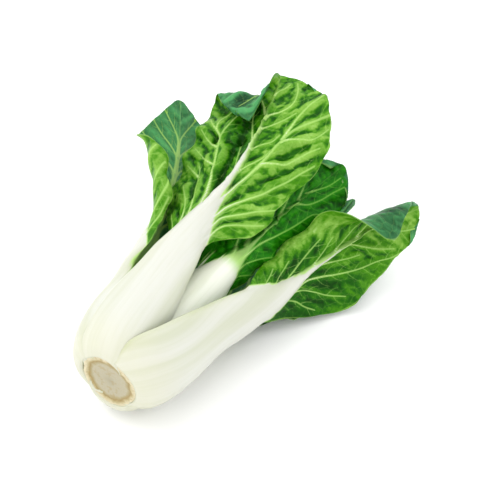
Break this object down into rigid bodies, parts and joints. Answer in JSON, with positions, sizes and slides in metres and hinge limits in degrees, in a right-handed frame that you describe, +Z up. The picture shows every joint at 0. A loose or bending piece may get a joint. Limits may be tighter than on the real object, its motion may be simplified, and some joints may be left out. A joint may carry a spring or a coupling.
{
  "type": "bok choy",
  "caption": "Head of bok choy lying on its side: broad white stalks on a cut crown, each opening into a wide green blade with a wavy edge.",
  "frame": {"origin": "middle of the footprint, on the surface the head lies on", "axes": "+Y along the head from the cut crown to the leaf tips, +Z up"},
  "size_m": [0.206, 0.2702, 0.12],
  "materials": {
    "cut_crown": "dry fibrous cut stem, cream with a tan rim",
    "stalk": "smooth waxy white stalk",
    "outer_blade": "soft waxy leaf, green with pale veins",
    "inner_blade": "soft waxy leaf, darker green with pale veins"
  },
  "bodies": {
    "root": {"crown": "cut_crown", "right_leaf_stalk": "stalk", "right_leaf_blade": "outer_blade", "top_leaf_stalk": "stalk", "top_leaf_blade": "outer_blade", "left_leaf_stalk": "stalk", "left_leaf_blade": "outer_blade", "under_leaf_stalk": "stalk", "under_leaf_blade": "outer_blade", "middle_leaf_stalk": "stalk", "middle_leaf_blade": "inner_blade", "inner_left_leaf_stalk": "stalk", "inner_left_leaf_blade": "inner_blade", "inner_right_leaf_stalk": "stalk", "inner_right_leaf_blade": "inner_blade", "inner_under_leaf_stalk": "stalk", "inner_under_leaf_blade": "inner_blade", "heart_leaf_stalk": "stalk", "heart_leaf_blade": "inner_blade"}
  },
  "joints": []
}
